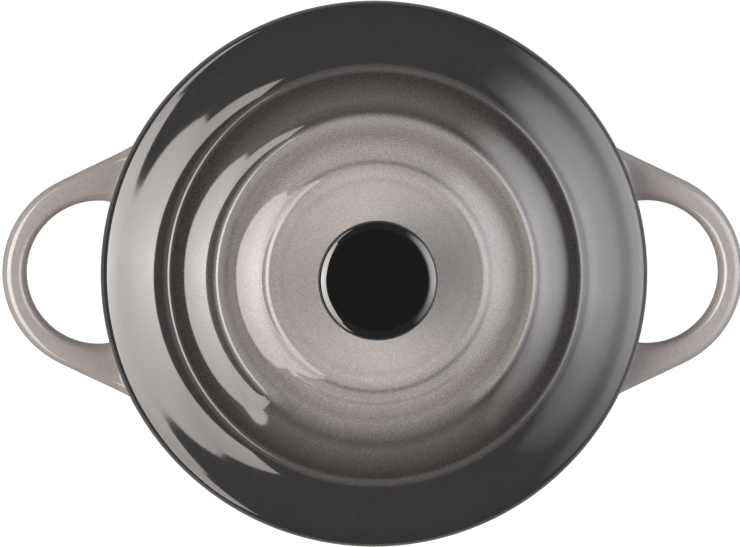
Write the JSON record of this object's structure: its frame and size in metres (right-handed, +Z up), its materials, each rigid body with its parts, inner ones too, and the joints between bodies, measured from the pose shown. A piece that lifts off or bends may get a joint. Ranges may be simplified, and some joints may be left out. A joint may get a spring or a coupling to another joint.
{
  "type": "mini cocotte",
  "caption": "Small round lidded baking pot in glazed stoneware, with loop handles, a lid of stepped rings and a black mushroom knob. The lid lifts off.",
  "frame": {"origin": "middle of the foot ring, on the surface that the pot stands on", "axes": "+X through a handle, +Y away from the break in the lid's middle ring, +Z up through the knob"},
  "size_m": [0.1394, 0.102, 0.0757],
  "materials": {
    "pot_glaze": "gloss glaze, greige at the rim and handles, darker towards the base",
    "lid_glaze": "gloss glaze, charcoal at the edge fading to greige at the middle",
    "knob_moulding": "black heat-resistant moulding, polished",
    "brass": "turned brass",
    "silicone": "matt dark silicone",
    "steel": "stainless steel"
  },
  "bodies": {
    "pot": {"pot": "pot_glaze"},
    "lid": {"lid": "lid_glaze", "knob": "knob_moulding", "knob_bush": "brass", "knob_gasket": "silicone", "screw_cushion": "silicone", "screw_washer": "steel", "knob_screw": "steel"}
  },
  "joints": [
    {"name": "lid_lift", "type": "slide", "parent": "pot", "child": "lid", "axis": [0, 0, 1], "range_m": [0, 0.06]}
  ]
}
